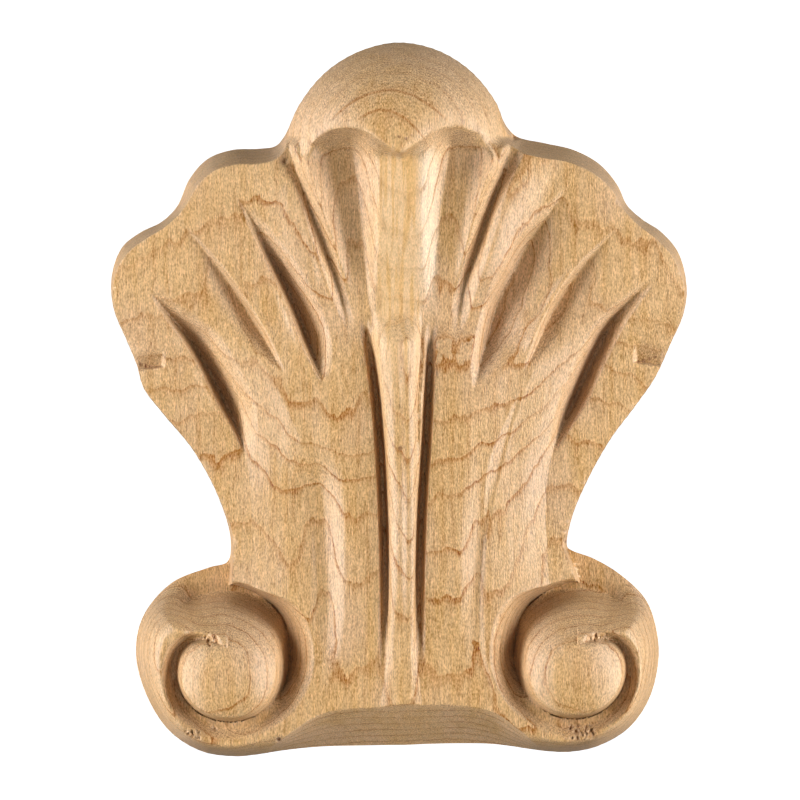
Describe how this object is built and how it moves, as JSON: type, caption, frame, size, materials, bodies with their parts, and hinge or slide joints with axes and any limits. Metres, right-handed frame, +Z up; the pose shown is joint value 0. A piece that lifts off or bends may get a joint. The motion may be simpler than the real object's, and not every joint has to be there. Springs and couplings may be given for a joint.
{
  "type": "carved shell applique",
  "caption": "Carved maple shell ornament with a domed hood, fluted lobed body, narrow waist and scrolled volutes, flat-backed for fixing to furniture or trim.",
  "frame": {"origin": "middle of the flat back, halfway up and halfway across the outline", "axes": "+Z up towards the domed hood, +Y out of the flat back, carved face towards -Y, X across"},
  "size_m": [0.1026, 0.022, 0.1272],
  "materials": {
    "maple": "bare sanded light tan maple, unfinished, slight satin sheen"
  },
  "bodies": {
    "root": {"shell_applique": "maple"}
  },
  "joints": []
}
